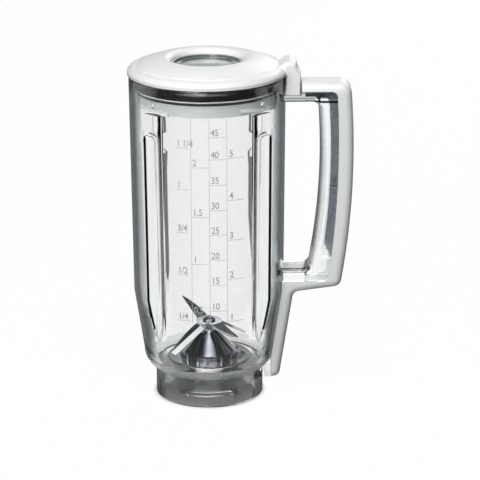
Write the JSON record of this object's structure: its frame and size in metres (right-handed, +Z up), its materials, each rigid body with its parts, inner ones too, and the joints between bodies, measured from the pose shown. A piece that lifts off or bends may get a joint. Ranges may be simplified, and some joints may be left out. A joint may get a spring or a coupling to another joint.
{
  "type": "blender jar",
  "caption": "Tall clear mixing jar with a closed loop handle, white twist-lock lid with a centre cap, and a knife insert in the base collar.",
  "frame": {"origin": "on the jar's axis, in the plane of the base collar's lower rim", "axes": "+Z up along the jar's axis, +X towards the handle, -Y the side with the measuring scale"},
  "size_m": [0.16, 0.113, 0.2502],
  "materials": {
    "clear_plastic": "clear, polished",
    "white_plastic": "white, soft gloss",
    "seal_rubber": "dark grey, matt",
    "grey_plastic": "dark grey, matt",
    "polished_steel": "polished",
    "blade_steel": "ground",
    "plain_steel": "turned",
    "bearing_bronze": "sintered",
    "insert_brass": "turned"
  },
  "bodies": {
    "jar": {"jar": "clear_plastic", "handle_cover": "white_plastic"},
    "lid": {"lid": "white_plastic", "lid_seal": "seal_rubber", "filler_cap": "clear_plastic"},
    "knife_insert": {"knife_carrier": "clear_plastic", "carrier_seal": "seal_rubber", "hub_cone": "polished_steel", "lower_bush": "bearing_bronze", "upper_bush": "bearing_bronze", "shaft_seal": "seal_rubber"},
    "rotor": {"shaft": "plain_steel", "lower_blade": "blade_steel", "upper_blade": "blade_steel", "seat_washer": "plain_steel", "blade_nut": "polished_steel", "thrust_washer": "plain_steel", "retaining_clip": "plain_steel", "drive_coupling": "grey_plastic", "coupling_insert": "insert_brass"}
  },
  "joints": [
    {"name": "lid_twist", "type": "hinge", "parent": "jar", "child": "lid", "pos_m": [0, 0, 0.2389], "axis": [0, 0, 1], "range_deg": [-25, 0]},
    {"name": "insert_twist", "type": "hinge", "parent": "jar", "child": "knife_insert", "pos_m": [0, 0, 0.0108], "axis": [0, 0, 1], "range_deg": [0, 55]},
    {"name": "blade_spin", "type": "hinge", "parent": "knife_insert", "child": "rotor", "pos_m": [0, 0, 0.03], "axis": [0, 0, 1], "continuous": true}
  ]
}
